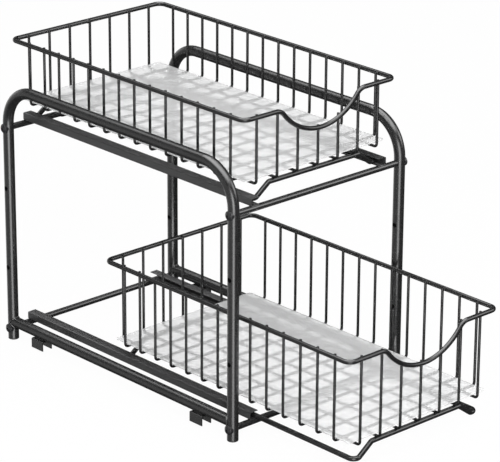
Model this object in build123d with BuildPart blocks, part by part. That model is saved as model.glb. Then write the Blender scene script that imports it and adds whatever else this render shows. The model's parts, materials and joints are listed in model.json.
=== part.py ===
"""Two-tier pull-out cabinet basket: a tube frame, four tracks and two sliding wire baskets.

Millimetres. X runs left to right, -Y is the front where the baskets pull out, +Z is up.
The origin is on the floor, in the middle of the box that the unit fills with its lower
basket pulled out, which is how it is stored here.
"""
from build123d import *
from math import sqrt
import os

os.makedirs("parts", exist_ok=True)

# ---------------------------------------------------------------- driving dimensions
# side frames
TUBE_D = 13.0            # legs, top rails and base rails
TUBE_WALL = 1.0
LEG_X = 127.5            # leg axes, left and right of the middle
LEG_Y = 196.0            # leg axes, in front of and behind the frame's middle
RAIL_Z = 319.0           # axis of the top rails
BEND_R = 46.0            # centreline radius where a leg turns into the top rail
BASE_RAIL_Z = 22.4
SPARE_HOLE_Z = (93.0, 193.0)
SPARE_HOLE_D = 6.0

# crossbars, their threaded inserts and screws
CROSSBAR_D = 7.4
CROSSBAR_WALL = 0.9
LOWER_BAR_Z = 14.5
UPPER_BAR_Z = 268.0
SCREW_D = 4.0
SCREW_HOLE_D = 4.4
SCREW_REACH = 12.0       # thread inside the crossbar
SCREW_HEAD_D = 11.0
SCREW_HEAD_H = 3.2       # crown above the leg's surface
SCREW_EDGE_H = 0.8       # where the head's straight side turns into its dome
SCREW_SOCKET = 3.0       # across the flats
SCREW_SOCKET_DEPTH = 1.8
INSERT_LENGTH = 14.0
INSERT_INSET = 0.3       # from the leg's surface to the insert
COPE_LENGTH = 40.0       # of the cutter that copes a tube's end, longer than any tube is thick

# foot plugs
PLUG_FLANGE = 2.0
PLUG_STEM = 8.0
PLUG_CHAMFER = 1.0

# floor brackets under the base rails
BRACKET_LENGTH = 20.5
BRACKET_WIDTH = 14.5
BRACKET_SHEET = 1.2
BRACKET_FOOT_Z = 4.3
BRACKET_Y = 142.0        # in front of and behind the frame's middle

# tracks
TRACK_SHEET = 0.8
TRACK_WEB_X = 103.4      # outer face of the upright web
TRACK_WIDTH = 11.8
TRACK_HEIGHT = 9.0
TRACK_LENGTH = 396.0
STOP_SIZE = (1.6, 4.0, 5.0)
STOP_CORNER_R = 0.4

# baskets
RIM_D = 5.4
WIRE_D = 3.2
RING_D = 6.0
RIM_X = 114.4            # rim axis, left and right
RIM_LENGTH = 400.0       # rim axis, front to back
RIM_CORNER_R = 9.0
BASKET_SETBACK = 2.2     # middle of a closed basket, behind the frame's middle
LOWER_RIM_Z = 143.4
UPPER_RIM_Z = 371.4
WIRE_TIP = 1.8           # wire ends stand this far above the rim axis
WIRE_BEND_R = 4.0
CROSS_WIRES = 14
CROSS_WIRE_PITCH = 26.6
CROSS_ROW_SETBACK = 1.0  # middle of a closed basket's cross wires, behind the frame's middle
LONG_WIRES = 7
LONG_WIRE_PITCH = 30.75
SCOOP_DEPTH = 32.0
SCOOP_R = 72.0
SHOULDER_R = 15.0
LINER_SIZE = (212.4, 387.5)
LINER_SHEET = 1.2
LINER_CORNER_R = 3.0

# sliding ring under each basket
RUNNER_X = 96.2
RUNNER_ABOVE_BAR = 7.5   # runner axis above the crossbar axis
RING_RISE = 14.0         # front and rear runs above the runners
RING_LENGTH = 377.6
RING_SETBACK = 0.8       # middle of a closed ring, behind the frame's middle
RISE_TOP_X = 68.5
RISE_FOOT_X = 87.8
RISE_BEND_R = 5.0
RING_CORNER_R = 6.6
SHOE_SIZE = (9.6, 16.0, 6.8)
SHOE_SLOT = 4.0          # opening below, through which a shoe snaps over the runner
SHOE_X = 97.3
SHOE_CORNER_R = 0.8
SHOE_FROM_END = 16.0     # rear end of a shoe to the rear run's axis

# motion
LOWER_PULL = 166.2       # how far the lower basket stands pulled out
TRAVEL = 260.0           # from closed to the front stop
STOP_GAP = 0.5
WELD = 0.2               # depth to which welded wires and sheets sink into each other

# ---------------------------------------------------------------- derived places
TUBE_R = TUBE_D / 2
BAR_R = CROSSBAR_D / 2
WIRE_R = WIRE_D / 2
RIM_R = RIM_D / 2
RING_R = RING_D / 2

BASKET_REACH = RIM_LENGTH / 2 + RIM_R
REAR_REACH = BASKET_SETBACK + BASKET_REACH
FRONT_REACH = LOWER_PULL - BASKET_SETBACK + BASKET_REACH
FRAME_Y = (FRONT_REACH - REAR_REACH) / 2

FRONT_LEG_Y = FRAME_Y - LEG_Y
REAR_LEG_Y = FRAME_Y + LEG_Y
LEG_YS = (FRONT_LEG_Y, REAR_LEG_Y)
BAR_ZS = (LOWER_BAR_Z, UPPER_BAR_Z)
SIDES = {"left": -1, "right": 1}

CROSS_WIRE_X = RIM_X - RIM_R - WIRE_R + WELD
LONG_WIRE_Y = RIM_LENGTH / 2 - RIM_R - WIRE_R + WELD
LONG_ABOVE_RUN = RING_R + WIRE_R - WELD
CROSS_ABOVE_LONG = WIRE_D - WELD
TRACK_ABOVE_BAR = BAR_R - WELD
SHOE_LIFT = TRACK_ABOVE_BAR + TRACK_HEIGHT / 2 - RUNNER_ABOVE_BAR

TIERS = {
    "upper": {"bar_z": UPPER_BAR_Z, "rim_z": UPPER_RIM_Z, "pull": 0.0},
    "lower": {"bar_z": LOWER_BAR_Z, "rim_z": LOWER_RIM_Z, "pull": LOWER_PULL},
}


def save(piece, name):
    """Label a finished piece and write it as its own STEP file."""
    piece.part.label = name
    export_step(piece.part, f"parts/{name}.step")


# ---------------------------------------------------------------- frame
def side_frame(side):
    """Leg, top rail and leg bent from one tube, drilled across for the screws and spare heights."""
    x = side * LEG_X
    with BuildPart() as tube:
        with BuildLine(Plane.YZ.offset(x)) as route:
            FilletPolyline(
                (FRONT_LEG_Y, PLUG_FLANGE), (FRONT_LEG_Y, RAIL_Z),
                (REAR_LEG_Y, RAIL_Z), (REAR_LEG_Y, PLUG_FLANGE), radius=BEND_R)
        with BuildSketch(Plane.XY.offset(PLUG_FLANGE)):
            with Locations((x, FRONT_LEG_Y)):
                Circle(TUBE_R)
                Circle(TUBE_R - TUBE_WALL, mode=Mode.SUBTRACT)
        sweep(path=route.line)
        with BuildSketch(Plane.YZ.offset(x - TUBE_D)):
            with Locations(*[(y, z) for y in LEG_YS for z in BAR_ZS]):
                Circle(SCREW_HOLE_D / 2)
            with Locations(*[(y, z) for y in LEG_YS for z in SPARE_HOLE_Z]):
                Circle(SPARE_HOLE_D / 2)
        extrude(amount=2 * TUBE_D, mode=Mode.SUBTRACT)
    return tube


def base_rail(side):
    """Straight tube welded between the front and rear legs, its ends coped to their round."""
    x = side * LEG_X
    with BuildPart() as rail:
        with BuildSketch(Plane.XZ.offset(-FRAME_Y)):
            with Locations((x, BASE_RAIL_Z)):
                Circle(TUBE_R)
                Circle(TUBE_R - TUBE_WALL, mode=Mode.SUBTRACT)
        extrude(amount=LEG_Y - TUBE_WALL, both=True)
        with Locations(*[(x, y, BASE_RAIL_Z) for y in LEG_YS]):
            Cylinder(TUBE_R, COPE_LENGTH, mode=Mode.SUBTRACT)
    return rail


def crossbar(y, z):
    """Thin tube between the side frames, coped where it meets the legs."""
    with BuildPart() as bar:
        with BuildSketch(Plane.YZ):
            with Locations((y, z)):
                Circle(BAR_R)
                Circle(BAR_R - CROSSBAR_WALL, mode=Mode.SUBTRACT)
        extrude(amount=LEG_X - sqrt(TUBE_R**2 - BAR_R**2) + WELD, both=True)
        with Locations((-LEG_X, y, z), (LEG_X, y, z)):
            Cylinder(TUBE_R, COPE_LENGTH, mode=Mode.SUBTRACT)
    return bar


for name, side in SIDES.items():
    save(side_frame(side), f"{name}_side_frame")
    save(base_rail(side), f"{name}_base_rail")

for tier, bar_z in zip(("lower", "upper"), BAR_ZS):
    for end, leg_y in zip(("front", "rear"), LEG_YS):
        save(crossbar(leg_y, bar_z), f"{tier}_{end}_crossbar")

# every screw and insert is made once along +X from a leg's axis, then placed at each joint
screw_joints = [
    Location((side * LEG_X, y, z), (0, 0, 0 if side > 0 else 180))
    for side in SIDES.values() for y in LEG_YS for z in BAR_ZS
]

with BuildPart() as screw:
    crown = TUBE_R + SCREW_HEAD_H
    with BuildSketch(Plane.XZ):
        with BuildLine():
            dome = TangentArc((crown, 0), (TUBE_R + SCREW_EDGE_H, SCREW_HEAD_D / 2), tangent=(0, 1))
            Polyline(dome @ 1, (0, SCREW_HEAD_D / 2), (0, 0), dome @ 0)
        make_face()
    revolve(axis=Axis.X)
    # the underside of the head is hollowed to sit on the leg
    with BuildSketch(Plane.XY):
        Circle(TUBE_R)
    extrude(amount=TUBE_D, both=True, mode=Mode.SUBTRACT)
    with BuildSketch(Plane.YZ.offset(crown)):
        RegularPolygon(SCREW_SOCKET / 2, 6, major_radius=False)
    extrude(amount=-SCREW_SOCKET_DEPTH, mode=Mode.SUBTRACT)
    with BuildSketch(Plane.YZ.offset(-TUBE_R - SCREW_REACH)):
        Circle(SCREW_D / 2)
    extrude(amount=TUBE_D + SCREW_REACH + SCREW_EDGE_H)

with BuildPart() as insert:
    with BuildSketch(Plane.YZ.offset(-TUBE_R - INSERT_INSET)):
        Circle(BAR_R - CROSSBAR_WALL)
        Circle(SCREW_D / 2, mode=Mode.SUBTRACT)
    extrude(amount=-INSERT_LENGTH)

with BuildPart() as frame_screws:
    with Locations(*screw_joints):
        add(screw.part)
save(frame_screws, "frame_screws")

with BuildPart() as crossbar_inserts:
    with Locations(*screw_joints):
        add(insert.part)
save(crossbar_inserts, "crossbar_inserts")

with BuildPart() as plug:
    with BuildSketch():
        Circle(TUBE_R)
    extrude(amount=PLUG_FLANGE)
    fillet(plug.faces().sort_by(Axis.Z)[0].edges(), radius=PLUG_FLANGE / 2)
    with BuildSketch(Plane.XY.offset(PLUG_FLANGE)):
        Circle(TUBE_R - TUBE_WALL)
    extrude(amount=PLUG_STEM)
    chamfer(plug.faces().sort_by(Axis.Z)[-1].edges(), length=PLUG_CHAMFER)

with BuildPart() as foot_plugs:
    with Locations(*[(side * LEG_X, y) for side in SIDES.values() for y in LEG_YS]):
        add(plug.part)
save(foot_plugs, "foot_plugs")


def floor_bracket(x, y):
    """Sheet folded to an upside-down U under a base rail, with a tab down each side."""
    top = BASE_RAIL_Z - TUBE_R + WELD
    with BuildPart() as bracket:
        with BuildSketch(Plane.XZ.offset(-y)):
            with Locations((x, (top + BRACKET_FOOT_Z) / 2)):
                Rectangle(BRACKET_WIDTH, top - BRACKET_FOOT_Z)
            with Locations((x, (top - BRACKET_SHEET + BRACKET_FOOT_Z) / 2)):
                Rectangle(
                    BRACKET_WIDTH - 2 * BRACKET_SHEET, top - BRACKET_SHEET - BRACKET_FOOT_Z,
                    mode=Mode.SUBTRACT)
        extrude(amount=BRACKET_LENGTH / 2, both=True)
        fillet(bracket.edges().filter_by(Axis.Y).group_by(Axis.Z)[-1], radius=BRACKET_SHEET)
    return bracket


for end, y in (("front", FRAME_Y - BRACKET_Y), ("rear", FRAME_Y + BRACKET_Y)):
    for name, side in SIDES.items():
        save(floor_bracket(side * LEG_X, y), f"{end}_{name}_floor_bracket")


# ---------------------------------------------------------------- tracks
def track(side, bar_z):
    """Channel rolled from sheet, its web outside and its two flanges pointing inwards."""
    middle_x = side * (TRACK_WEB_X - TRACK_WIDTH / 2)
    middle_z = bar_z + TRACK_ABOVE_BAR + TRACK_HEIGHT / 2
    with BuildPart() as channel:
        with BuildSketch(Plane.XZ.offset(-FRAME_Y)):
            with Locations((middle_x, middle_z)):
                Rectangle(TRACK_WIDTH, TRACK_HEIGHT)
            with Locations((middle_x - side * TRACK_SHEET, middle_z)):
                Rectangle(TRACK_WIDTH, TRACK_HEIGHT - 2 * TRACK_SHEET, mode=Mode.SUBTRACT)
        extrude(amount=TRACK_LENGTH / 2, both=True)
        web_edges = channel.edges().filter_by(Axis.Y).sort_by(Axis.X)
        outer = web_edges[-2:] if side > 0 else web_edges[:2]
        fillet(outer, radius=TRACK_SHEET)
    return channel


for tier, spec in TIERS.items():
    for name, side in SIDES.items():
        save(track(side, spec["bar_z"]), f"{tier}_{name}_track")

# a closed basket's shoe rests just in front of the rear stop, and meets the front one at full travel
shoe_rear = FRAME_Y + RING_SETBACK + RING_LENGTH / 2 - SHOE_FROM_END
shoe_front = shoe_rear - SHOE_SIZE[1]
stop_ys = (
    shoe_rear + STOP_GAP + STOP_SIZE[1] / 2,
    shoe_front - TRAVEL - STOP_GAP - STOP_SIZE[1] / 2,
)
stop_x = TRACK_WEB_X - TRACK_SHEET - STOP_SIZE[0] / 2
with BuildPart() as track_stops:
    with Locations(*[
        (side * stop_x, y, bar_z + TRACK_ABOVE_BAR + TRACK_HEIGHT / 2)
        for side in SIDES.values() for y in stop_ys for bar_z in BAR_ZS
    ]):
        Box(*STOP_SIZE)
    fillet(track_stops.edges().filter_by(Axis.Z), radius=STOP_CORNER_R)
save(track_stops, "track_stops")

# ---------------------------------------------------------------- baskets
# the scoop's arc and the two shoulders meet on the line through their centres
SCOOP_RISE = SCOOP_R - SCOOP_DEPTH
SHOULDER_X = sqrt((SCOOP_R + SHOULDER_R)**2 - (SCOOP_RISE + SHOULDER_R)**2)
MEET_X = SHOULDER_X * SCOOP_R / (SCOOP_R + SHOULDER_R)
MEET_DROP = (SCOOP_RISE + SHOULDER_R) * SCOOP_R / (SCOOP_R + SHOULDER_R) - SCOOP_RISE


def front_rim_drop(x):
    """How far the front rim's axis lies below the other sides at distance x from the middle."""
    x = abs(x)
    if x >= SHOULDER_X:
        return 0.0
    if x >= MEET_X:
        return SHOULDER_R - sqrt(SHOULDER_R**2 - (SHOULDER_X - x)**2)
    return SCOOP_DEPTH - SCOOP_R + sqrt(SCOOP_R**2 - x**2)


def rim(middle_y, rim_z):
    """Thick wire closed round the basket's mouth, dipping in a scoop at the front."""
    front = middle_y - RIM_LENGTH / 2
    rear = middle_y + RIM_LENGTH / 2
    with BuildPart() as wire:
        with BuildLine() as route:
            back = Line((0, rear, rim_z), (RIM_CORNER_R - RIM_X, rear, rim_z))
            corner = TangentArc(back @ 1, (-RIM_X, rear - RIM_CORNER_R, rim_z), tangent=back % 1)
            flank = Line(corner @ 1, (-RIM_X, front + RIM_CORNER_R, rim_z))
            turn = TangentArc(flank @ 1, (RIM_CORNER_R - RIM_X, front, rim_z), tangent=flank % 1)
            flat = Line(turn @ 1, (-SHOULDER_X, front, rim_z))
            shoulder = TangentArc(flat @ 1, (-MEET_X, front, rim_z - MEET_DROP), tangent=flat % 1)
            TangentArc(shoulder @ 1, (0, front, rim_z - SCOOP_DEPTH), tangent=shoulder % 1)
        with BuildSketch(Plane.YZ):
            with Locations((rear, rim_z)):
                Circle(RIM_R)
        sweep(path=route.line)
        mirror(about=Plane.YZ)
    return wire


def cross_wires(middle_y, floor_z, rim_z):
    """Thin wires up the left wall, over the bottom and up the right wall."""
    tip = rim_z + WIRE_TIP
    with BuildPart() as wire:
        with BuildLine(Plane.XZ) as route:
            FilletPolyline(
                (-CROSS_WIRE_X, tip), (-CROSS_WIRE_X, floor_z),
                (CROSS_WIRE_X, floor_z), (CROSS_WIRE_X, tip), radius=WIRE_BEND_R)
        with BuildSketch(Plane.XY.offset(tip)):
            with Locations((-CROSS_WIRE_X, 0)):
                Circle(WIRE_R)
        sweep(path=route.line)
    with BuildPart() as row:
        with Locations((0, middle_y)):
            with GridLocations(0, CROSS_WIRE_PITCH, 1, CROSS_WIRES):
                add(wire.part)
    return row


def long_wires(middle_y, floor_z, rim_z):
    """Thin wires down the rear wall, along the bottom and up the front to the scooped rim."""
    rear = middle_y + LONG_WIRE_Y
    front = middle_y - LONG_WIRE_Y
    tip = rim_z + WIRE_TIP
    with BuildPart() as row:
        for place in range(LONG_WIRES):
            x = (place - (LONG_WIRES - 1) / 2) * LONG_WIRE_PITCH
            with BuildLine(Plane.YZ.offset(x)) as route:
                FilletPolyline(
                    (rear, tip), (rear, floor_z), (front, floor_z),
                    (front, tip - front_rim_drop(x)), radius=WIRE_BEND_R)
            with BuildSketch(Plane.XY.offset(tip)):
                with Locations((x, rear)):
                    Circle(WIRE_R)
            sweep(path=route.line)
    return row


def slide_ring(middle_y, runner_z):
    """Closed thick wire: two low runners, raised at the front and rear to carry the basket."""
    front = middle_y - RING_LENGTH / 2
    rear = middle_y + RING_LENGTH / 2
    run_z = runner_z + RING_RISE
    with BuildPart() as ring:
        with BuildLine() as route:
            FilletPolyline(
                (0, rear, run_z), (-RISE_TOP_X, rear, run_z), (-RISE_FOOT_X, rear, runner_z),
                (-RUNNER_X, rear, runner_z), (-RUNNER_X, front, runner_z),
                (-RISE_FOOT_X, front, runner_z), (-RISE_TOP_X, front, run_z), (0, front, run_z),
                radius=[RISE_BEND_R, RISE_BEND_R, RING_CORNER_R, RING_CORNER_R, RISE_BEND_R, RISE_BEND_R])
        with BuildSketch(Plane.YZ):
            with Locations((rear, run_z)):
                Circle(RING_R)
        sweep(path=route.line)
        mirror(about=Plane.YZ)
    return ring


def glide_shoes(middle_y, runner_z):
    """Plastic blocks snapped over the runners near the rear, which ride in the tracks."""
    y = middle_y + RING_LENGTH / 2 - SHOE_FROM_END - SHOE_SIZE[1] / 2
    middle_z = runner_z + SHOE_LIFT
    with BuildPart() as shoes:
        with Locations((-SHOE_X, y, middle_z), (SHOE_X, y, middle_z)):
            Box(*SHOE_SIZE)
        fillet(shoes.edges().filter_by(Axis.Z), radius=SHOE_CORNER_R)
        with BuildSketch(Plane.XZ.offset(-y)):
            with Locations((-RUNNER_X, runner_z), (RUNNER_X, runner_z)):
                Circle(RING_R)
            with Locations((-RUNNER_X, runner_z - RING_R), (RUNNER_X, runner_z - RING_R)):
                Rectangle(SHOE_SLOT, RING_D)
        extrude(amount=SHOE_SIZE[1], both=True, mode=Mode.SUBTRACT)
    return shoes


def liner(middle_y, wires_z):
    """Loose plastic sheet lying on the cross wires."""
    with BuildPart() as sheet:
        with BuildSketch(Plane.XY.offset(wires_z + WIRE_R)):
            with Locations((0, middle_y)):
                RectangleRounded(*LINER_SIZE, LINER_CORNER_R)
        extrude(amount=LINER_SHEET)
    return sheet


for tier, spec in TIERS.items():
    basket_y = FRAME_Y + BASKET_SETBACK - spec["pull"]
    row_y = FRAME_Y + CROSS_ROW_SETBACK - spec["pull"]
    ring_y = FRAME_Y + RING_SETBACK - spec["pull"]
    runner_height = spec["bar_z"] + RUNNER_ABOVE_BAR
    long_z = runner_height + RING_RISE + LONG_ABOVE_RUN
    cross_z = long_z + CROSS_ABOVE_LONG
    save(rim(basket_y, spec["rim_z"]), f"{tier}_rim")
    save(cross_wires(row_y, cross_z, spec["rim_z"]), f"{tier}_cross_wires")
    save(long_wires(basket_y, long_z, spec["rim_z"]), f"{tier}_long_wires")
    save(slide_ring(ring_y, runner_height), f"{tier}_slide_ring")
    save(glide_shoes(ring_y, runner_height), f"{tier}_glide_shoes")
    save(liner(basket_y, cross_z), f"{tier}_liner")
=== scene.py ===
import json
import math

import bpy
import numpy as np
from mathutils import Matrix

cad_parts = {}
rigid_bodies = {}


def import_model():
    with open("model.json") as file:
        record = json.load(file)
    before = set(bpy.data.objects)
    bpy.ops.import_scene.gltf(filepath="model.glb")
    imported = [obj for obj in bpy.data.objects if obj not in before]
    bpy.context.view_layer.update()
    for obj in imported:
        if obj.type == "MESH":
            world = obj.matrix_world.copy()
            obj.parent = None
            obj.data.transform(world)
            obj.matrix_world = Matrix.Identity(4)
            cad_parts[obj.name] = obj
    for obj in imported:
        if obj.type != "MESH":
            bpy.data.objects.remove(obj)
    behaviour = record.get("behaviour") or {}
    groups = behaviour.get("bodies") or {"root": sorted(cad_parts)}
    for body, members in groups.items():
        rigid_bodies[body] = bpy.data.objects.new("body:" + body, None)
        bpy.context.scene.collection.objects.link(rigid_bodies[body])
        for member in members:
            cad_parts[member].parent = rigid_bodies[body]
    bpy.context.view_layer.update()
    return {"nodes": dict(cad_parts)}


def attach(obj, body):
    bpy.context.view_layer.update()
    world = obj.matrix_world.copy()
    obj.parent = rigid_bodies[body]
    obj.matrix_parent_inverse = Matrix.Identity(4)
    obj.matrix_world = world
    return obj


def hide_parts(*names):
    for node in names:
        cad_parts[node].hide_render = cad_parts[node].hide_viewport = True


for leftover in list(bpy.data.objects):
    bpy.data.objects.remove(leftover)
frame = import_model()

# ---------------------------------------------------------------- camera
# A long lens stands 3.3 m away to the front left and looks down on the unit by 21 degrees, level
# but for a third of a degree.
VIEW_PLACE = np.array([-2.0573, -2.2261, 1.3373])
VIEW_SWING = math.radians(-42.79)
VIEW_LIFT = math.radians(20.83)
VIEW_TILT = math.radians(0.34)
LENS_IN_PIXELS = 2832.4
PICTURE_WIDTH = 500
FILM_WIDTH = 36.0

backwards = np.array([math.sin(VIEW_SWING) * math.cos(VIEW_LIFT),
                      -math.cos(VIEW_SWING) * math.cos(VIEW_LIFT), math.sin(VIEW_LIFT)])
level_right = np.array([math.cos(VIEW_SWING), math.sin(VIEW_SWING), 0.0])
level_up = np.cross(backwards, level_right)
view_axes = np.eye(4)
view_axes[0, :3] = math.cos(VIEW_TILT) * level_right + math.sin(VIEW_TILT) * level_up
view_axes[1, :3] = math.cos(VIEW_TILT) * level_up - math.sin(VIEW_TILT) * level_right
view_axes[2, :3] = backwards
view_axes[3, :3] = VIEW_PLACE
lens = bpy.data.cameras.new("long_lens")
lens.sensor_fit = "HORIZONTAL"
lens.sensor_width = FILM_WIDTH
lens.lens = LENS_IN_PIXELS / PICTURE_WIDTH * FILM_WIDTH
lens.clip_end = 30.0
camera = bpy.data.objects.new("long_lens", lens)
bpy.context.scene.collection.objects.link(camera)
camera.matrix_world = view_axes.tolist()
bpy.context.scene.camera = camera

# ---------------------------------------------------------------- side frames
# Half-inch steel tube bent to a leg, a top rail and a leg, drilled across, then powder coated
# black. The coat is semi-gloss, with a fine orange peel and a gloss that wanders a little.
TUBE_SHADE = 0.013
TUBE_GLOSS = 0.27
PEEL_LUMPS = 900.0       # to the metre
PEEL_HEIGHT = 0.000005
DRIFT_LUMPS = 34.0
RUB_LUMPS = 160.0
RUBBED_SHADE = 0.16
FILM_WEIGHT = 0.4        # of the clear resin film on the pigment, for each unit of shine
FILM_ROUGHNESS = 0.22


class Amount:
    """A number that changes over a surface. Sums written with it add Math nodes to its recipe."""

    def __init__(self, recipe, socket):
        self.recipe = recipe
        self.socket = socket

    def join(self, operation, *parts):
        return self.recipe.amount("ShaderNodeMath", "Value", dict(enumerate(parts)), operation=operation)

    def __add__(self, other):
        return self.join("ADD", self, other)

    def __radd__(self, other):
        return self.join("ADD", other, self)

    def __sub__(self, other):
        return self.join("SUBTRACT", self, other)

    def __rsub__(self, other):
        return self.join("SUBTRACT", other, self)

    def __mul__(self, other):
        return self.join("MULTIPLY", self, other)

    def __rmul__(self, other):
        return self.join("MULTIPLY", other, self)

    def __abs__(self):
        return self.join("ABSOLUTE", self)

    def rising(self, low, high):
        """0 below low, 1 above high, and an eased climb between."""
        inputs = {"Value": self, "From Min": low, "From Max": high, "To Min": 0.0, "To Max": 1.0}
        return self.recipe.amount("ShaderNodeMapRange", "Result", inputs, interpolation_type="SMOOTHSTEP")


class Recipe:
    """The nodes of one material or of the room, added one by one."""

    def __init__(self, owner):
        owner.use_nodes = True
        self.tree = owner.node_tree
        self.tree.nodes.clear()

    def add(self, kind, inputs=None, **settings):
        """Adds one node: its settings first, then the values or links of its sockets."""
        made = self.tree.nodes.new(kind)
        for name, value in settings.items():
            setattr(made, name, value)
        for key, value in (inputs or {}).items():
            source = value.socket if isinstance(value, Amount) else value
            if isinstance(source, bpy.types.NodeSocket):
                self.tree.links.new(source, made.inputs[key])
            else:
                made.inputs[key].default_value = source
        return made

    def amount(self, kind, output, inputs=None, **settings):
        return Amount(self, self.add(kind, inputs, **settings).outputs[output])


class Finish(Recipe):
    """A material for the object: one Principled surface, fed by patterns in object coordinates."""

    def __init__(self, name, **constants):
        self.material = bpy.data.materials.new(name)
        super().__init__(self.material)
        sockets = {key.replace("_", " "): value for key, value in constants.items()}
        self.surface = self.add("ShaderNodeBsdfPrincipled", sockets)
        self.add("ShaderNodeOutputMaterial", {"Surface": self.surface.outputs["BSDF"]})
        self.place = self.add("ShaderNodeTexCoord").outputs["Object"]
        apart = self.add("ShaderNodeSeparateXYZ", {"Vector": self.place}).outputs
        self.x, self.y, self.z = (Amount(self, apart[axis]) for axis in "XYZ")

    def speckle(self, scale, detail=2.0, roughness=0.5):
        """Even noise between 0 and 1, with scale lumps to the metre."""
        inputs = {"Vector": self.place, "Scale": scale, "Detail": detail, "Roughness": roughness}
        return self.amount("ShaderNodeTexNoise", "Fac", inputs)

    def between(self, share, first, second):
        """A colour that goes from first to second as share goes from 0 to 1. The node's colour
        sockets are its inputs 6 and 7 and its output 2."""
        return self.add("ShaderNodeMix", {0: share, 6: first, 7: second}, data_type="RGBA").outputs[2]

    def wear(self, **links):
        """Links amounts or colours to the surface's sockets of the same names."""
        for name, value in links.items():
            source = value.socket if isinstance(value, Amount) else value
            self.tree.links.new(source, self.surface.inputs[name.replace("_", " ")])

    def raised(self, height, distance):
        """Raises the skin by height times distance, in metres."""
        bump = self.add("ShaderNodeBump", {"Distance": distance, "Height": height})
        self.wear(Normal=bump.outputs["Normal"])

    def cover(self, *names):
        """Gives this finish to carried-over CAD nodes."""
        for name in names:
            frame["nodes"][name].material_slots[0].material = self.material


def grey(value, blue=1.0):
    """A grey of this linear value, bluer by this factor."""
    return (value, value, value * blue, 1.0)


def powder_coat(name, shade, gloss, rubbed=None, shine=0.5):
    """Black powder coat: orange peel about a millimetre across, shade and gloss that drift over
    centimetres, and where rubbed is given, a mask of bare, smoother skin."""
    coat = Finish(name, Specular_IOR_Level=shine, Coat_Weight=FILM_WEIGHT * shine,
                  Coat_Roughness=FILM_ROUGHNESS)
    peel = coat.speckle(PEEL_LUMPS, 3.0, 0.55)
    drift = coat.speckle(DRIFT_LUMPS)
    colour = coat.between(drift, grey(0.75 * shade), grey(1.3 * shade, 1.03))
    rough = (gloss - 0.05) + 0.06 * drift + 0.04 * peel
    if rubbed:
        bare = rubbed(coat) * coat.speckle(RUB_LUMPS, 3.0).rising(0.3, 0.6)
        colour = coat.between(bare, colour, grey(RUBBED_SHADE, 1.02))
        rough = rough - 0.1 * bare
    coat.wear(Base_Color=colour, Roughness=rough)
    coat.raised(peel, PEEL_HEIGHT)
    return coat


tube_coat = powder_coat("tube_coat", TUBE_SHADE, TUBE_GLOSS)
tube_coat.cover("left_side_frame", "right_side_frame")

# ---------------------------------------------------------------- base rails
# Lengths of the same tube, coped round the legs and welded on a little above the floor. The weld
# leaves a rippled bead along each saddle-shaped joint, under the same coat.
TUBE_R = 0.0065
LEG_X = 0.1275
LEG_Y = 0.196            # leg axes, in front of and behind the frame's middle
MIDDLE_Y = 0.0809        # the frame's middle, behind the middle of the whole unit
BASE_RAIL_Z = 0.0224
SADDLE_BEAD_R = 0.0010
SADDLE_BEAD_STEPS = 104
SADDLE_FOOT = 0.3        # a bead's least distance from the leg's axis, over the tube's radius
SADDLE_RIPPLES = 26
BEAD_SIDES = 8
FACE_EDGE = math.radians(40)   # faces that meet at more than this keep a crisp edge


def unit(vectors):
    return vectors / np.linalg.norm(vectors, axis=-1, keepdims=True)


def round_skin(path, radius, upward, sides, closed=False):
    """Points of a round skin carried along paths. Round each path point they lie at the radius
    times (cos t sideways + sin t up), where sideways is square to the path and to upward, and up
    is square to both."""
    if closed:
        along = np.roll(path, -1, -2) - np.roll(path, 1, -2)
    else:
        along = np.gradient(path, axis=-2)
    along = unit(along)
    sideways = unit(np.cross(upward, along))
    up = np.cross(along, sideways)
    turn = np.linspace(0, 2 * math.pi, sides, endpoint=False)[:, None]
    circle = np.cos(turn) * sideways[..., None, :] + np.sin(turn) * up[..., None, :]
    return path[..., None, :] + np.asarray(radius)[..., None, None] * circle


def skin_faces(points, closed=False):
    """Faces of skins given as points in copies, rows and columns. Neighbouring rows are joined by
    four-sided faces; an open skin gets a flat face over each end."""
    rows, columns = points.shape[-3:-1]
    copies = points.size // (3 * rows * columns)
    row = np.arange(rows if closed else rows - 1)[:, None]
    column = np.arange(columns)[None, :]
    next_row = (row + 1) % rows
    next_column = (column + 1) % columns
    corners = (row * columns + column, row * columns + next_column,
               next_row * columns + next_column, next_row * columns + column)
    first = (np.arange(copies) * rows * columns)[:, None, None]
    quads = (np.stack(corners, -1).reshape(1, -1, 4) + first).reshape(-1, 4).tolist()
    if closed:
        return quads
    ends = np.stack([np.arange(columns)[::-1], np.arange(columns) + (rows - 1) * columns])
    return quads + (ends[None] + first).reshape(-1, columns).tolist()


def make_piece(name, points, finish, body, closed=False, replaces=()):
    """One piece of the object from the points of its skins. It rides on a body, takes its finish
    from a slot, and stands in for the CAD nodes that it replaces."""
    mesh = bpy.data.meshes.new(name)
    mesh.from_pydata(points.reshape(-1, 3).tolist(), [], skin_faces(points, closed))
    mesh.polygons.foreach_set("use_smooth", np.ones(len(mesh.polygons), bool))
    mesh.set_sharp_from_angle(angle=FACE_EDGE)
    mesh.materials.append(finish.material)
    mesh.update()
    piece = bpy.data.objects.new(name, mesh)
    bpy.context.scene.collection.objects.link(piece)
    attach(piece, body)
    if replaces:
        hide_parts(*replaces)


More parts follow.
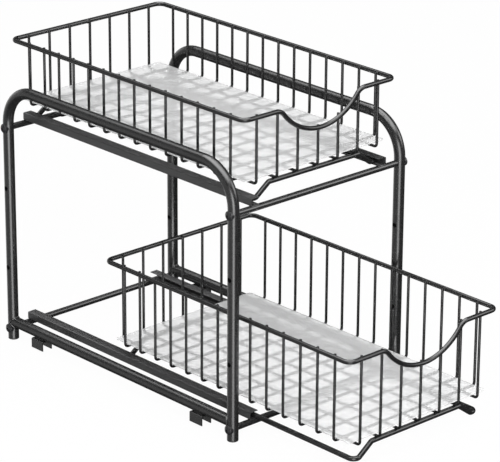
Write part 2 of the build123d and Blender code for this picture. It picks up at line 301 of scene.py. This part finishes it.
def saddle_beads(leg_x):
    """The two beads of one rail. At angle t round the rail its joint with the leg lies r cos t to
    the side, r sin t up, and r |sin t| from the leg's axis; the bead rounds that off at its foot,
    and its own thickness ripples."""
    turn = np.linspace(0, 2 * math.pi, SADDLE_BEAD_STEPS, endpoint=False)
    aside = TUBE_R * np.cos(turn)
    rise = TUBE_R * np.sin(turn)
    reach = np.sqrt(rise ** 2 + (SADDLE_FOOT * TUBE_R) ** 2)
    ends = np.array([[-1.0], [1.0]])
    path = np.stack(np.broadcast_arrays(leg_x + aside, MIDDLE_Y + ends * (LEG_Y - reach),
                                        BASE_RAIL_Z + rise), -1)
    outward = np.stack([aside, 0 * aside, rise], -1)
    thickness = SADDLE_BEAD_R * (1 + 0.12 * np.cos(SADDLE_RIPPLES * turn))
    return round_skin(path, thickness, outward, BEAD_SIDES, closed=True)


tube_coat.cover("left_base_rail", "right_base_rail")
make_piece("left_rail_welds", saddle_beads(-LEG_X), tube_coat, "frame", closed=True)
make_piece("right_rail_welds", saddle_beads(LEG_X), tube_coat, "frame", closed=True)

# ---------------------------------------------------------------- floor brackets
# Strip folded to an upside-down U, with a tab down each side that a floor clip grips. Two short
# beads weld each one under its base rail, and it is coated with the frame.
BRACKET_Y = 0.142        # in front of and behind the frame's middle
BRACKET_BEAD_ASIDE = 0.0033     # from the rail's axis
BRACKET_BEAD_HALF = 0.0075
BRACKET_BEAD_Z = 0.0164
BRACKET_BEAD_R = 0.0008
BEAD_STEPS = 25
UPWARD = np.array([0.0, 0.0, 1.0])


def straight_beads(starts, ends, thickness):
    """Beads along straight runs, from starts to ends. Along one, s goes from 0 to 1, and the
    thickness falls off at both ends as the root of 1 - |2s - 1| to the sixth, and ripples."""
    s = np.linspace(0.003, 0.997, BEAD_STEPS)
    path = starts[:, None] + s[:, None] * (ends - starts)[:, None]
    fall = np.sqrt(1 - np.abs(2 * s - 1) ** 6)
    return round_skin(path, thickness * fall * (1 + 0.1 * np.cos(34 * s)), UPWARD, BEAD_SIDES)


bracket_runs = np.array([
    [(side * LEG_X + aside * BRACKET_BEAD_ASIDE,
      MIDDLE_Y + end * BRACKET_Y + way * BRACKET_BEAD_HALF,
      BRACKET_BEAD_Z) for way in (-1, 1)]
    for side in (-1, 1) for end in (-1, 1) for aside in (-1, 1)])
make_piece("bracket_welds", straight_beads(bracket_runs[:, 0], bracket_runs[:, 1], BRACKET_BEAD_R),
           tube_coat, "frame")
tube_coat.cover("front_left_floor_bracket", "front_right_floor_bracket",
                "rear_left_floor_bracket", "rear_right_floor_bracket")

# ---------------------------------------------------------------- foot plugs
# Moulded black plastic caps, pushed into the open ends of the legs. Their skin is finely grained.
GRAIN_LUMPS = 1500.0
GRAIN_HEIGHT = 0.00004
moulded = Finish("moulded_plastic", Specular_IOR_Level=0.45)
grain = moulded.speckle(GRAIN_LUMPS)
moulded.wear(Base_Color=moulded.between(grain, grey(0.016), grey(0.03)), Roughness=0.46 + 0.12 * grain)
moulded.raised(grain, GRAIN_HEIGHT)
moulded.cover("foot_plugs")

# ---------------------------------------------------------------- crossbars
# Four thin tubes with coped ends, coated like the frame. Screws draw them up against the legs.
BAR_SHADE = 0.013
BAR_GLOSS = 0.25
bar_coat = powder_coat("crossbar_coat", BAR_SHADE, BAR_GLOSS)
bar_coat.cover("upper_front_crossbar", "upper_rear_crossbar", "lower_front_crossbar", "lower_rear_crossbar")

# ---------------------------------------------------------------- screws and inserts
# Domed steel socket screws in black oxide go through the legs and bite into zinc-plated inserts
# pressed into the crossbars' ends.
oxide = Finish("black_oxide", Metallic=0.3)
handled = oxide.speckle(700.0)
oxide.wear(Base_Color=oxide.between(handled, grey(0.014, 1.05), grey(0.035, 1.05)),
           Roughness=0.28 + 0.14 * handled)
oxide.cover("frame_screws")
zinc = Finish("zinc_plate", Metallic=1.0)
spangle = zinc.speckle(420.0, 3.0)
zinc.wear(Base_Color=zinc.between(spangle, (0.42, 0.43, 0.45, 1), (0.62, 0.63, 0.65, 1)),
          Roughness=0.3 + 0.2 * spangle)
zinc.cover("crossbar_inserts")

# ---------------------------------------------------------------- tracks and stops
# Channels rolled from 0.8 mm strip, web outside and flanges inside, with a flatter charcoal coat.
# Each is welded across two crossbars, and lugs pressed out of its web stop the basket.
TRACK_WEB = 0.1034       # outer face of the web, from the middle
TRACK_WIDTH = 0.0118
TRACK_HEIGHT = 0.009
TRACK_SHEET = 0.0008
TRACK_FOLD_R = 0.0008    # of the sheet's middle where it turns
TRACK_LENGTH = 0.396
BAR_TO_TRACK = 0.0035    # from a crossbar's axis to the underside of its tracks
RUNNER_X = 0.0962        # where a basket's runner rubs the lower flange
TRACK_SHADE = 0.032
TRACK_GLOSS = 0.43
TRACK_BEAD_R = 0.0008
TRACK_BEAD_ASIDE = 0.0019
TRACK_BEAD_SINK = 0.0002
TRACK_BEAD_ENDS = (0.05, 0.95)   # as shares of the track's width
BAR_HEIGHTS = {"upper": 0.268, "lower": 0.0145}


def channel_outline():
    """Outline of the rolled channel: inward from the web's outer face, and up from its underside.
    The sheet's middle line runs flange, fold, web, fold, flange; half a sheet lies to each side
    of it, and a half circle closes each lip."""
    half = TRACK_SHEET / 2
    turn = np.linspace(0, math.pi / 2, 6)
    near = half + TRACK_FOLD_R
    upper_fold = np.stack([near - TRACK_FOLD_R * np.sin(turn),
                           TRACK_HEIGHT - near + TRACK_FOLD_R * np.cos(turn)], -1)
    lower_fold = upper_fold[::-1] * (1, -1) + (0, TRACK_HEIGHT)
    lips = np.array([[TRACK_WIDTH - half, TRACK_HEIGHT - half], [TRACK_WIDTH - half, half]])
    middle = np.concatenate([lips[:1], upper_fold, lower_fold, lips[1:]])
    along = unit(np.gradient(middle, axis=0))
    along[[0, -1]] = (-1, 0), (1, 0)
    across = along[:, ::-1] * (-1, 1)
    round_lip = np.linspace(0, math.pi, 7)[1:-1, None]
    far_lip = middle[-1] + half * (np.cos(round_lip) * across[-1] + np.sin(round_lip) * along[-1])
    near_lip = middle[0] - half * (np.cos(round_lip) * across[0] + np.sin(round_lip) * along[0])
    return np.concatenate([middle + half * across, far_lip, (middle - half * across)[::-1], near_lip])


def channel(side, bar_z):
    """The outline carried straight from the track's front end to its rear end."""
    outline = channel_outline()
    x = side * (TRACK_WEB - outline[:, 0])
    z = bar_z + BAR_TO_TRACK + outline[:, 1]
    if side > 0:
        x, z = x[::-1], z[::-1]
    y = MIDDLE_Y + np.array([[-0.5], [0.5]]) * TRACK_LENGTH
    return np.stack(np.broadcast_arrays(x, y, z), -1)


def track_coat(bar_z):
    """Charcoal coat, rubbed along the line where the basket's runner slides."""
    def rubbed(coat):
        beside = 1 - abs(abs(coat.x) - RUNNER_X).rising(0.0004, 0.0016)
        flange_z = bar_z + BAR_TO_TRACK + TRACK_SHEET
        not_below = coat.z.rising(flange_z - 0.0004, flange_z - 0.0001)
        above = coat.z.rising(flange_z + 0.0003, flange_z + 0.0006)
        return beside * (not_below - above)
    return powder_coat("track_coat", TRACK_SHADE, TRACK_GLOSS, rubbed)


for tier, bar_z in BAR_HEIGHTS.items():
    rolled_coat = track_coat(bar_z)
    bead_z = bar_z + BAR_TO_TRACK - TRACK_BEAD_SINK
    for hand, side in (("left", -1), ("right", 1)):
        make_piece(f"{tier}_{hand}_rolled_track", channel(side, bar_z), rolled_coat, "frame",
                   replaces=[f"{tier}_{hand}_track"])
    track_runs = np.array([
        [(side * (TRACK_WEB - inward * TRACK_WIDTH),
          MIDDLE_Y + end * LEG_Y + aside * TRACK_BEAD_ASIDE,
          bead_z) for inward in TRACK_BEAD_ENDS]
        for side in (-1, 1) for end in (-1, 1) for aside in (-1, 1)])
    make_piece(f"{tier}_track_welds", straight_beads(track_runs[:, 0], track_runs[:, 1], TRACK_BEAD_R),
               rolled_coat, "frame")
rolled_coat.cover("track_stops")

# ---------------------------------------------------------------- rims
# The thick wire round each basket's mouth is bent to a low scoop at the front and butt-welded in
# the middle of the back, which leaves a slight swelling under the coat.
RIM_R = 0.0027
RIM_X = 0.1144           # axis, from the middle to each side
RIM_HALF = 0.2           # axis, from the basket's middle to its front and back
RIM_CORNER_R = 0.009
RIM_HEIGHTS = {"upper": 0.3714, "lower": 0.1434}
BASKET_MIDDLES = {"upper": 0.0831, "lower": -0.0831}
SCOOP_DEPTH = 0.032
SCOOP_R = 0.072
SHOULDER_R = 0.015
SHOULDER_X = math.sqrt((SCOOP_R + SHOULDER_R) ** 2 - (SCOOP_R - SCOOP_DEPTH + SHOULDER_R) ** 2)
MEET_X = SHOULDER_X * SCOOP_R / (SCOOP_R + SHOULDER_R)   # where a shoulder meets the scoop
SHOULDER_STEPS = 9
SCOOP_STEPS = 18
SEAM_STEPS = np.array([0.004, 0.0025, 0.0015, 0.0008, 0.0, -0.0008, -0.0015, -0.0025, -0.004])
SEAM_SWELLING = 0.09
SEAM_REACH = 0.0012
WIRE_SHADE = 0.010
WIRE_GLOSS = 0.25
WIRE_SHINE = 0.4
THICK_WIRE_SIDES = 20


def bent(corners, radii, steps=8):
    """Centre line of a bent wire. At each inner corner it follows an arc: with both runs' unit
    directions away from the corner, the arc's centre lies on their bisector, and its points at
    the radius times (sin t along their difference - cos t along the bisector)."""
    corners = np.asarray(corners, float)
    back = unit(corners[..., :-2, :] - corners[..., 1:-1, :])
    ahead = unit(corners[..., 2:, :] - corners[..., 1:-1, :])
    bisector = unit(back + ahead)
    half = np.arccos(np.clip((back * ahead).sum(-1), -1, 1))[..., None] / 2
    radii = np.broadcast_to(radii, half.shape[:-1])[..., None]
    centre = corners[..., 1:-1, :] + bisector * radii / np.sin(half)
    turn = np.linspace(-1, 1, steps) * (math.pi / 2 - half)
    along = np.sin(turn)[..., None] * unit(ahead - back)[..., None, :]
    toward = np.cos(turn)[..., None] * bisector[..., None, :]
    arc = centre[..., None, :] + radii[..., None] * (along - toward)
    arc = arc.reshape(*corners.shape[:-2], -1, 3)
    return np.concatenate([corners[..., :1, :], arc, corners[..., -1:, :]], -2)


def scoop_drop(x):
    """How far the front rim lies below the other sides: nothing outside the shoulders, then a
    shoulder's circle falling away, then the scoop's own circle."""
    x = np.abs(x)
    shoulder = SHOULDER_R - np.sqrt(np.clip(SHOULDER_R ** 2 - (SHOULDER_X - x) ** 2, 0, None))
    scoop = SCOOP_DEPTH - SCOOP_R + np.sqrt(np.clip(SCOOP_R ** 2 - x ** 2, 0, None))
    return np.where(x >= SHOULDER_X, 0.0, np.where(x >= MEET_X, shoulder, scoop))


def swollen_seam(path, rear, radius):
    """A closed wire's path and its radius along it. Where it crosses the middle of the back it
    swells by a bell curve, inward and downward, because the outer faces are dressed flush."""
    from_seam = np.hypot(path[:, 0], path[:, 1] - rear)
    growth = radius * SEAM_SWELLING * np.exp(-(from_seam / SEAM_REACH) ** 2)
    return path - growth[:, None] * np.array([0.0, 1.0, 1.0]), radius + growth


def rim_path(middle_y, rim_z):
    """Once round the rim from the seam: rear corner, front corner, scoop, and the same mirrored."""
    front, rear = middle_y - RIM_HALF, middle_y + RIM_HALF
    corners = [(0, rear, rim_z), (-RIM_X, rear, rim_z), (-RIM_X, front, rim_z), (0, front, rim_z)]
    left = bent(corners, RIM_CORNER_R)[1:-1]
    shoulder_turn = np.linspace(0, math.asin((SHOULDER_X - MEET_X) / SHOULDER_R), SHOULDER_STEPS)
    scoop_turn = np.linspace(math.asin(MEET_X / SCOOP_R), 0, SCOOP_STEPS)[1:]
    half_x = -np.concatenate([SHOULDER_X - SHOULDER_R * np.sin(shoulder_turn), SCOOP_R * np.sin(scoop_turn)])
    x = np.concatenate([half_x, -half_x[-2::-1]])
    dip = np.stack([x, np.full_like(x, front), rim_z - scoop_drop(x)], -1)
    seam = np.stack([SEAM_STEPS, np.full_like(SEAM_STEPS, rear), np.full_like(SEAM_STEPS, rim_z)], -1)
    return np.concatenate([seam, left, dip, left[::-1] * (-1, 1, 1)])


wire_coat = powder_coat("wire_coat", WIRE_SHADE, WIRE_GLOSS, shine=WIRE_SHINE)
for tier, rim_z in RIM_HEIGHTS.items():
    once_round, thickness = swollen_seam(rim_path(BASKET_MIDDLES[tier], rim_z),
                                         BASKET_MIDDLES[tier] + RIM_HALF, RIM_R)
    skin = round_skin(once_round, thickness, UPWARD, THICK_WIRE_SIDES, closed=True)
    make_piece(f"{tier}_bent_rim", skin, wire_coat, f"{tier}_basket", closed=True,
               replaces=[f"{tier}_rim"])

# ---------------------------------------------------------------- slide rings and glide shoes
# A closed ring of the thickest wire: its raised ends carry the basket, and its two low runners
# slide in the tracks, which rubs them bare below. Plastic shoes snap over them near the back.
RING_R = 0.003
RING_HALF = 0.1888
RING_CORNER_R = 0.0066
RISE_BEND_R = 0.005
RISE_TOP_X = 0.0685
RISE_FOOT_X = 0.0878
RUBBED_FROM_X = (0.0930, 0.0940)   # the rubbing starts and is full this far from the middle
BAR_TO_RUNNER = 0.0075             # from a crossbar's axis to the runners' axes
RING_RISE = 0.014
RING_MIDDLES = {"upper": 0.0817, "lower": -0.0845}


def ring_path(middle_y, runner_z):
    """Once round the ring from its seam in the middle of the back."""
    run_z = runner_z + RING_RISE
    front, rear = middle_y - RING_HALF, middle_y + RING_HALF
    corners = [(0, rear, run_z), (-RISE_TOP_X, rear, run_z), (-RISE_FOOT_X, rear, runner_z),
               (-RUNNER_X, rear, runner_z), (-RUNNER_X, front, runner_z), (-RISE_FOOT_X, front, runner_z),
               (-RISE_TOP_X, front, run_z), (0, front, run_z)]
    radii = [RISE_BEND_R, RISE_BEND_R, RING_CORNER_R, RING_CORNER_R, RISE_BEND_R, RISE_BEND_R]
    left = bent(corners, radii)[1:-1]
    seam = np.stack([SEAM_STEPS, np.full_like(SEAM_STEPS, rear), np.full_like(SEAM_STEPS, run_z)], -1)
    return np.concatenate([seam, left, left[::-1] * (-1, 1, 1)])


for tier, bar_z in BAR_HEIGHTS.items():
    runner_z = bar_z + BAR_TO_RUNNER

    def rubbed_below(coat):
        underside = 1 - coat.z.rising(runner_z - 0.9 * RING_R, runner_z - 0.6 * RING_R)
        return underside * abs(coat.x).rising(*RUBBED_FROM_X)

    ring_coat = powder_coat("ring_coat", WIRE_SHADE, WIRE_GLOSS, rubbed_below, WIRE_SHINE)
    once_round, thickness = swollen_seam(ring_path(RING_MIDDLES[tier], runner_z),
                                         RING_MIDDLES[tier] + RING_HALF, RING_R)
    skin = round_skin(once_round, thickness, UPWARD, THICK_WIRE_SIDES, closed=True)
    make_piece(f"{tier}_bent_ring", skin, ring_coat, f"{tier}_basket", closed=True,
               replaces=[f"{tier}_slide_ring"])
    moulded.cover(f"{tier}_glide_shoes")

# ---------------------------------------------------------------- lengthwise wires
# Seven thin wires down the back, along the bottom and up to the scooped rim at the front, cut a
# little above it. The lowest five are welded down on the ring.
WIRE_R = 0.0016
WIRE_BEND_R = 0.004
WIRE_TIP = 0.0018        # above the rim's axis
LONG_HALF = 0.1959       # axis, from the basket's middle to the front and rear walls
LONG_PLACES = 0.03075 * np.arange(-3, 4)
RUNNER_TO_LONG = RING_RISE + 0.0044
TIP_STEPS = np.array([0.0, 0.00005, 0.0002, 0.0006])
TIP_SHARES = np.array([0.72, 0.88, 0.97, 1.0])
THIN_WIRE_SIDES = 14
THIN_SHADE = 0.006
THIN_SHINE = 0.3
END_NUGGET = (0.0022, 0.0009, 0.0019)    # half sizes, where a lengthwise wire meets the rim
RING_NUGGET = (0.0022, 0.0019, 0.0008)


def cut_tips(path):
    """A wire's path with three more points close behind each end, and the share of the radius at
    every point: it is rounded off at the cut."""
    first = path[..., :1, :] + TIP_STEPS[1:, None] * unit(path[..., 1:2, :] - path[..., :1, :])
    last = path[..., -1:, :] + TIP_STEPS[:0:-1, None] * unit(path[..., -2:-1, :] - path[..., -1:, :])
    longer = np.concatenate([path[..., :1, :], first, path[..., 1:-1, :], last, path[..., -1:, :]], -2)
    shares = np.concatenate([TIP_SHARES, np.ones(path.shape[-2] - 2), TIP_SHARES[::-1]])
    return longer, shares


def weld_drops(centres, half_sizes):
    """Small weld nuggets: about each centre an ellipsoid, half sizes times (cos v cos u,
    cos v sin u, sin v), cut flat just before its poles."""
    v = np.radians([-78, -48, -16, 16, 48, 78])[:, None]
    u = np.linspace(0, 2 * math.pi, 8, endpoint=False)
    ball = np.stack(np.broadcast_arrays(np.cos(v) * np.cos(u), np.cos(v) * np.sin(u), np.sin(v)), -1)
    return np.asarray(centres)[:, None, None] + np.asarray(half_sizes) * ball


thin_coat = powder_coat("thin_wire_coat", THIN_SHADE, WIRE_GLOSS, shine=THIN_SHINE)
for tier, bar_z in BAR_HEIGHTS.items():
    long_z = bar_z + BAR_TO_RUNNER + RUNNER_TO_LONG
    tip_z = RIM_HEIGHTS[tier] + WIRE_TIP
    rear, front = BASKET_MIDDLES[tier] + LONG_HALF, BASKET_MIDDLES[tier] - LONG_HALF
    corners = np.array([[(x, rear, tip_z), (x, rear, long_z), (x, front, long_z),
                         (x, front, tip_z - scoop_drop(x))] for x in LONG_PLACES])
    path, shares = cut_tips(bent(corners, WIRE_BEND_R))
    skin = round_skin(path, WIRE_R * shares, np.array([1.0, 0.0, 0.0]), THIN_WIRE_SIDES)
    make_piece(f"{tier}_bent_long_wires", skin, thin_coat, f"{tier}_basket",
               replaces=[f"{tier}_long_wires"])
    to_rim = [(x, BASKET_MIDDLES[tier] + end * (RIM_HALF - RIM_R),
               RIM_HEIGHTS[tier] - (end < 0) * scoop_drop(x)) for x in LONG_PLACES for end in (-1, 1)]
    to_ring = [(x, RING_MIDDLES[tier] + end * RING_HALF, long_z - WIRE_R)
               for x in LONG_PLACES[1:-1] for end in (-1, 1)]
    make_piece(f"{tier}_long_wire_rim_welds", weld_drops(to_rim, END_NUGGET), wire_coat,
               f"{tier}_basket")
    make_piece(f"{tier}_ring_welds", weld_drops(to_ring, RING_NUGGET), wire_coat,
               f"{tier}_basket")

# ---------------------------------------------------------------- cross wires
# Fourteen thin wires up one side, over the lengthwise wires and up the other side. Resistance
# welding sinks them a little into the rim and the wires below, and squeezes out small nuggets.
CROSS_X = 0.1103         # axis of the side walls
CROSS_COUNT = 14
CROSS_PITCH = 0.0266
ROW_MIDDLES = {"upper": 0.0819, "lower": -0.0843}
LONG_TO_CROSS = 0.003
SIDE_NUGGET = (0.0009, 0.0022, 0.0019)
CROSSING_NUGGET = (0.0017, 0.0017, 0.0007)

for tier, bar_z in BAR_HEIGHTS.items():
    cross_z = bar_z + BAR_TO_RUNNER + RUNNER_TO_LONG + LONG_TO_CROSS
    tip_z = RIM_HEIGHTS[tier] + WIRE_TIP
    row = ROW_MIDDLES[tier] + CROSS_PITCH * (np.arange(CROSS_COUNT) - (CROSS_COUNT - 1) / 2)
    corners = np.array([[(-CROSS_X, y, tip_z), (-CROSS_X, y, cross_z), (CROSS_X, y, cross_z),
                         (CROSS_X, y, tip_z)] for y in row])
    path, shares = cut_tips(bent(corners, WIRE_BEND_R))
    skin = round_skin(path, WIRE_R * shares, np.array([0.0, 1.0, 0.0]), THIN_WIRE_SIDES)
    make_piece(f"{tier}_bent_cross_wires", skin, thin_coat, f"{tier}_basket",
               replaces=[f"{tier}_cross_wires"])
    to_rim = [(side * (RIM_X - RIM_R), y, RIM_HEIGHTS[tier]) for y in row for side in (-1, 1)]
    to_long = [(x, y, cross_z - LONG_TO_CROSS / 2) for y in row for x in LONG_PLACES]
    make_piece(f"{tier}_cross_wire_rim_welds", weld_drops(to_rim, SIDE_NUGGET), wire_coat,
               f"{tier}_basket")
    make_piece(f"{tier}_crossing_welds", weld_drops(to_long, CROSSING_NUGGET), wire_coat,
               f"{tier}_basket")

# ---------------------------------------------------------------- liners
# A loose sheet of milky polypropylene lies on the cross wires and sags a little between them. It
# blurs what is under it: the wires it touches show as a soft grey grid, and lower things as haze.
LINER_HALF = np.array([0.1062, 0.19375])
LINER_LINES = (64, 118)  # grid lines over its width and length
LINER_SHEET = 0.0012
LINER_CORNER_R = 0.003
LINER_SAG = 0.0002
LINER_CLEAR = 0.62       # share of the light that each face lets through, blurred
LINER_BEND = 1.06        # its index of refraction: enough to blur, too little to turn light back
CLOUD_LUMPS = 26.0


def liner_top(middle_y, top_z, row_y):
    """The sheet's upper face over a grid of lines, close together at the edges. A corner's square
    rings are drawn in to circles, and height sags between the wires as half of 1 - cos."""
    edge = LINER_CORNER_R * np.array([0.0, 0.3, 0.65, 1.0])
    lines = []
    for half, count in zip(LINER_HALF, LINER_LINES):
        inner = np.linspace(-half + LINER_CORNER_R, half - LINER_CORNER_R, count)[1:-1]
        lines.append(np.concatenate([-half + edge, inner, half - edge[::-1]]))
    flat = np.stack(np.meshgrid(*lines, indexing="ij"), -1)
    beyond = np.clip(np.abs(flat) - (LINER_HALF - LINER_CORNER_R), 0, None)
    square = beyond.max(-1, keepdims=True)
    across = np.linalg.norm(beyond, axis=-1, keepdims=True)
    drawn_in = np.where(across > 0, square / np.where(across > 0, across, 1), 1)
    flat = np.sign(flat) * (np.abs(flat) - beyond + beyond * drawn_in)
    y = middle_y + flat[..., 1]
    row_half = (CROSS_COUNT - 1) / 2 * CROSS_PITCH
    inside = 1 - np.clip((np.abs(y - row_y) - row_half) / 0.002, 0, 1)
    sag = LINER_SAG * inside * (1 - np.cos(2 * math.pi * ((y - row_y) / CROSS_PITCH - 0.5))) / 2
    return np.stack([flat[..., 0], y, top_z - sag], -1)


milky = Finish("milky_sheet", Transmission_Weight=LINER_CLEAR, IOR=LINER_BEND, Coat_Weight=0.25,
               Coat_Roughness=0.35)
cloud = milky.speckle(CLOUD_LUMPS, 3.0)
milky.wear(Base_Color=milky.between(cloud, (0.955, 0.96, 0.965, 1), (0.98, 0.98, 0.98, 1)),
           Roughness=0.25 + 0.03 * cloud)
for tier, bar_z in BAR_HEIGHTS.items():
    top_z = bar_z + BAR_TO_RUNNER + RUNNER_TO_LONG + LONG_TO_CROSS + WIRE_R + LINER_SHEET
    top = liner_top(BASKET_MIDDLES[tier], top_z, ROW_MIDDLES[tier])
    rows, columns = top.shape[:2]
    number = np.arange(rows * columns).reshape(rows, columns)
    quads = np.stack([number[:-1, :-1], number[1:, :-1], number[1:, 1:], number[:-1, 1:]], -1).reshape(-1, 4)
    mesh = bpy.data.meshes.new(f"{tier}_milky_liner")
    mesh.from_pydata(top.reshape(-1, 3).tolist(), [], quads.tolist())
    mesh.polygons.foreach_set("use_smooth", np.ones(len(mesh.polygons), bool))
    mesh.materials.append(milky.material)
    sheet = bpy.data.objects.new(f"{tier}_milky_liner", mesh)
    bpy.context.scene.collection.objects.link(sheet)
    thick = sheet.modifiers.new("sheet", "SOLIDIFY")
    thick.thickness = LINER_SHEET
    thick.offset = -1.0
    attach(sheet, f"{tier}_basket")
    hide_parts(f"{tier}_liner")

# ---------------------------------------------------------------- studio
# A plain pale floor in a white room. One wide soft lamp shines down from the front left. The dim
# walls, the ceiling and the soft boxes in front, behind and to the right show only in gloss, as
# streaks along tubes and wires.
LAMP_PLACE = np.array([-1.0, -1.5, 1.3])
LAMP_SIDE = 1.3
LAMP_WATTS = 38.0
GENERAL_LIGHT = 0.70
FRONT_BOX_WAY = (-0.585, -0.811)     # level directions from the object, to the right and back
REAR_BOX_WAY = (0.0, 1.0)
RIGHT_BOX_WAY = (0.717, -0.697)
BOX_HALF_WIDTHS = (0.16, 0.40)       # sines of the angles where a box starts to fade and is gone
DIM_WALLS = 0.06
LEFT_WALL = 0.50
FRONT_BOX = 7.0
REAR_BOX = 0.6
RIGHT_BOX = 5.0
CEILING = 7.0
FLOOR_HALF = 6.0
FLOOR_SHADE = 0.9
FLOOR_WHITE = 0.97       # share of the floor that looks plain white


def looked_through(recipe):
    """1 for rays from the camera, also after a milky sheet has let them through, else 0."""
    ray = recipe.add("ShaderNodeLightPath").outputs
    first = Amount(recipe, ray["Is Camera Ray"])
    return first.join("MAXIMUM", first, Amount(recipe, ray["Is Transmission Ray"]))


room = bpy.data.worlds.new("white_room")
air = Recipe(room)
way = air.add("ShaderNodeSeparateXYZ", {"Vector": air.add("ShaderNodeTexCoord").outputs["Generated"]}).outputs
east, north, high = (Amount(air, way[axis]) for axis in "XYZ")
seen = looked_through(air)
glossy = air.amount("ShaderNodeLightPath", "Is Glossy Ray") * (1 - seen)
level = high.rising(-0.52, -0.40) * (1 - high.rising(0.1, 0.5))


def soft_box(way_east, way_north, heights):
    """A softly edged upright box of light, in this level direction from the object."""
    ahead = way_east * east + way_north * north
    aside = way_north * east - way_east * north
    return heights * ahead.rising(0.2, 0.5) * (1 - abs(aside).rising(*BOX_HALF_WIDTHS))


left_wall = level * (FRONT_BOX_WAY[1] * east - FRONT_BOX_WAY[0] * north).rising(-0.1, 0.5)
raised = high.rising(0.05, 0.3) * (1 - high.rising(0.5, 0.72))
ceiling = high.rising(0.66, 0.80) * (1 - east.rising(0.35, 0.6))
reflected = (DIM_WALLS + LEFT_WALL * left_wall + FRONT_BOX * soft_box(*FRONT_BOX_WAY, level)
             + REAR_BOX * soft_box(*REAR_BOX_WAY, level) + RIGHT_BOX * soft_box(*RIGHT_BOX_WAY, raised)
             + CEILING * ceiling)
strength = seen + (1 - seen) * ((1 - glossy) * GENERAL_LIGHT + glossy * reflected)
glow = air.add("ShaderNodeBackground", {"Color": (1, 1, 1, 1), "Strength": strength})
air.add("ShaderNodeOutputWorld", {"Surface": glow.outputs["Background"]})
room.cycles.sampling_method = "NONE"
bpy.context.scene.world = room

lamp_axes = np.eye(4)
lamp_axes[:3, 2] = unit(LAMP_PLACE)
lamp_axes[:3, 0] = unit(np.cross(UPWARD, LAMP_PLACE))
lamp_axes[:3, 1] = np.cross(lamp_axes[:3, 2], lamp_axes[:3, 0])
lamp_axes[:3, 3] = LAMP_PLACE
soft = bpy.data.lights.new("front_lamp", "AREA")
soft.shape = "SQUARE"
soft.size = LAMP_SIDE
soft.energy = LAMP_WATTS
front_lamp = bpy.data.objects.new("front_lamp", soft)
front_lamp.visible_camera = False
front_lamp.visible_glossy = False
bpy.context.scene.collection.objects.link(front_lamp)
front_lamp.matrix_world = lamp_axes.T.tolist()

floor_mesh = bpy.data.meshes.new("studio_floor")
floor_mesh.from_pydata([(-FLOOR_HALF, -FLOOR_HALF, 0), (FLOOR_HALF, -FLOOR_HALF, 0),
                        (FLOOR_HALF, FLOOR_HALF, 0), (-FLOOR_HALF, FLOOR_HALF, 0)], [], [(0, 1, 2, 3)])
floor_paint = bpy.data.materials.new("pale_floor")
paint = Recipe(floor_paint)
matt = paint.add("ShaderNodeBsdfDiffuse", {"Color": grey(FLOOR_SHADE)})
white = paint.add("ShaderNodeEmission", {"Color": (1, 1, 1, 1), "Strength": 1.0})
both = paint.add("ShaderNodeMixShader", {0: FLOOR_WHITE * looked_through(paint), 1: matt.outputs["BSDF"],
                                         2: white.outputs["Emission"]})
paint.add("ShaderNodeOutputMaterial", {"Surface": both.outputs["Shader"]})
floor_mesh.materials.append(floor_paint)
studio_floor = bpy.data.objects.new("studio_floor", floor_mesh)
studio_floor.visible_glossy = False
bpy.context.scene.collection.objects.link(studio_floor)

bpy.context.scene.view_settings.view_transform = "Standard"
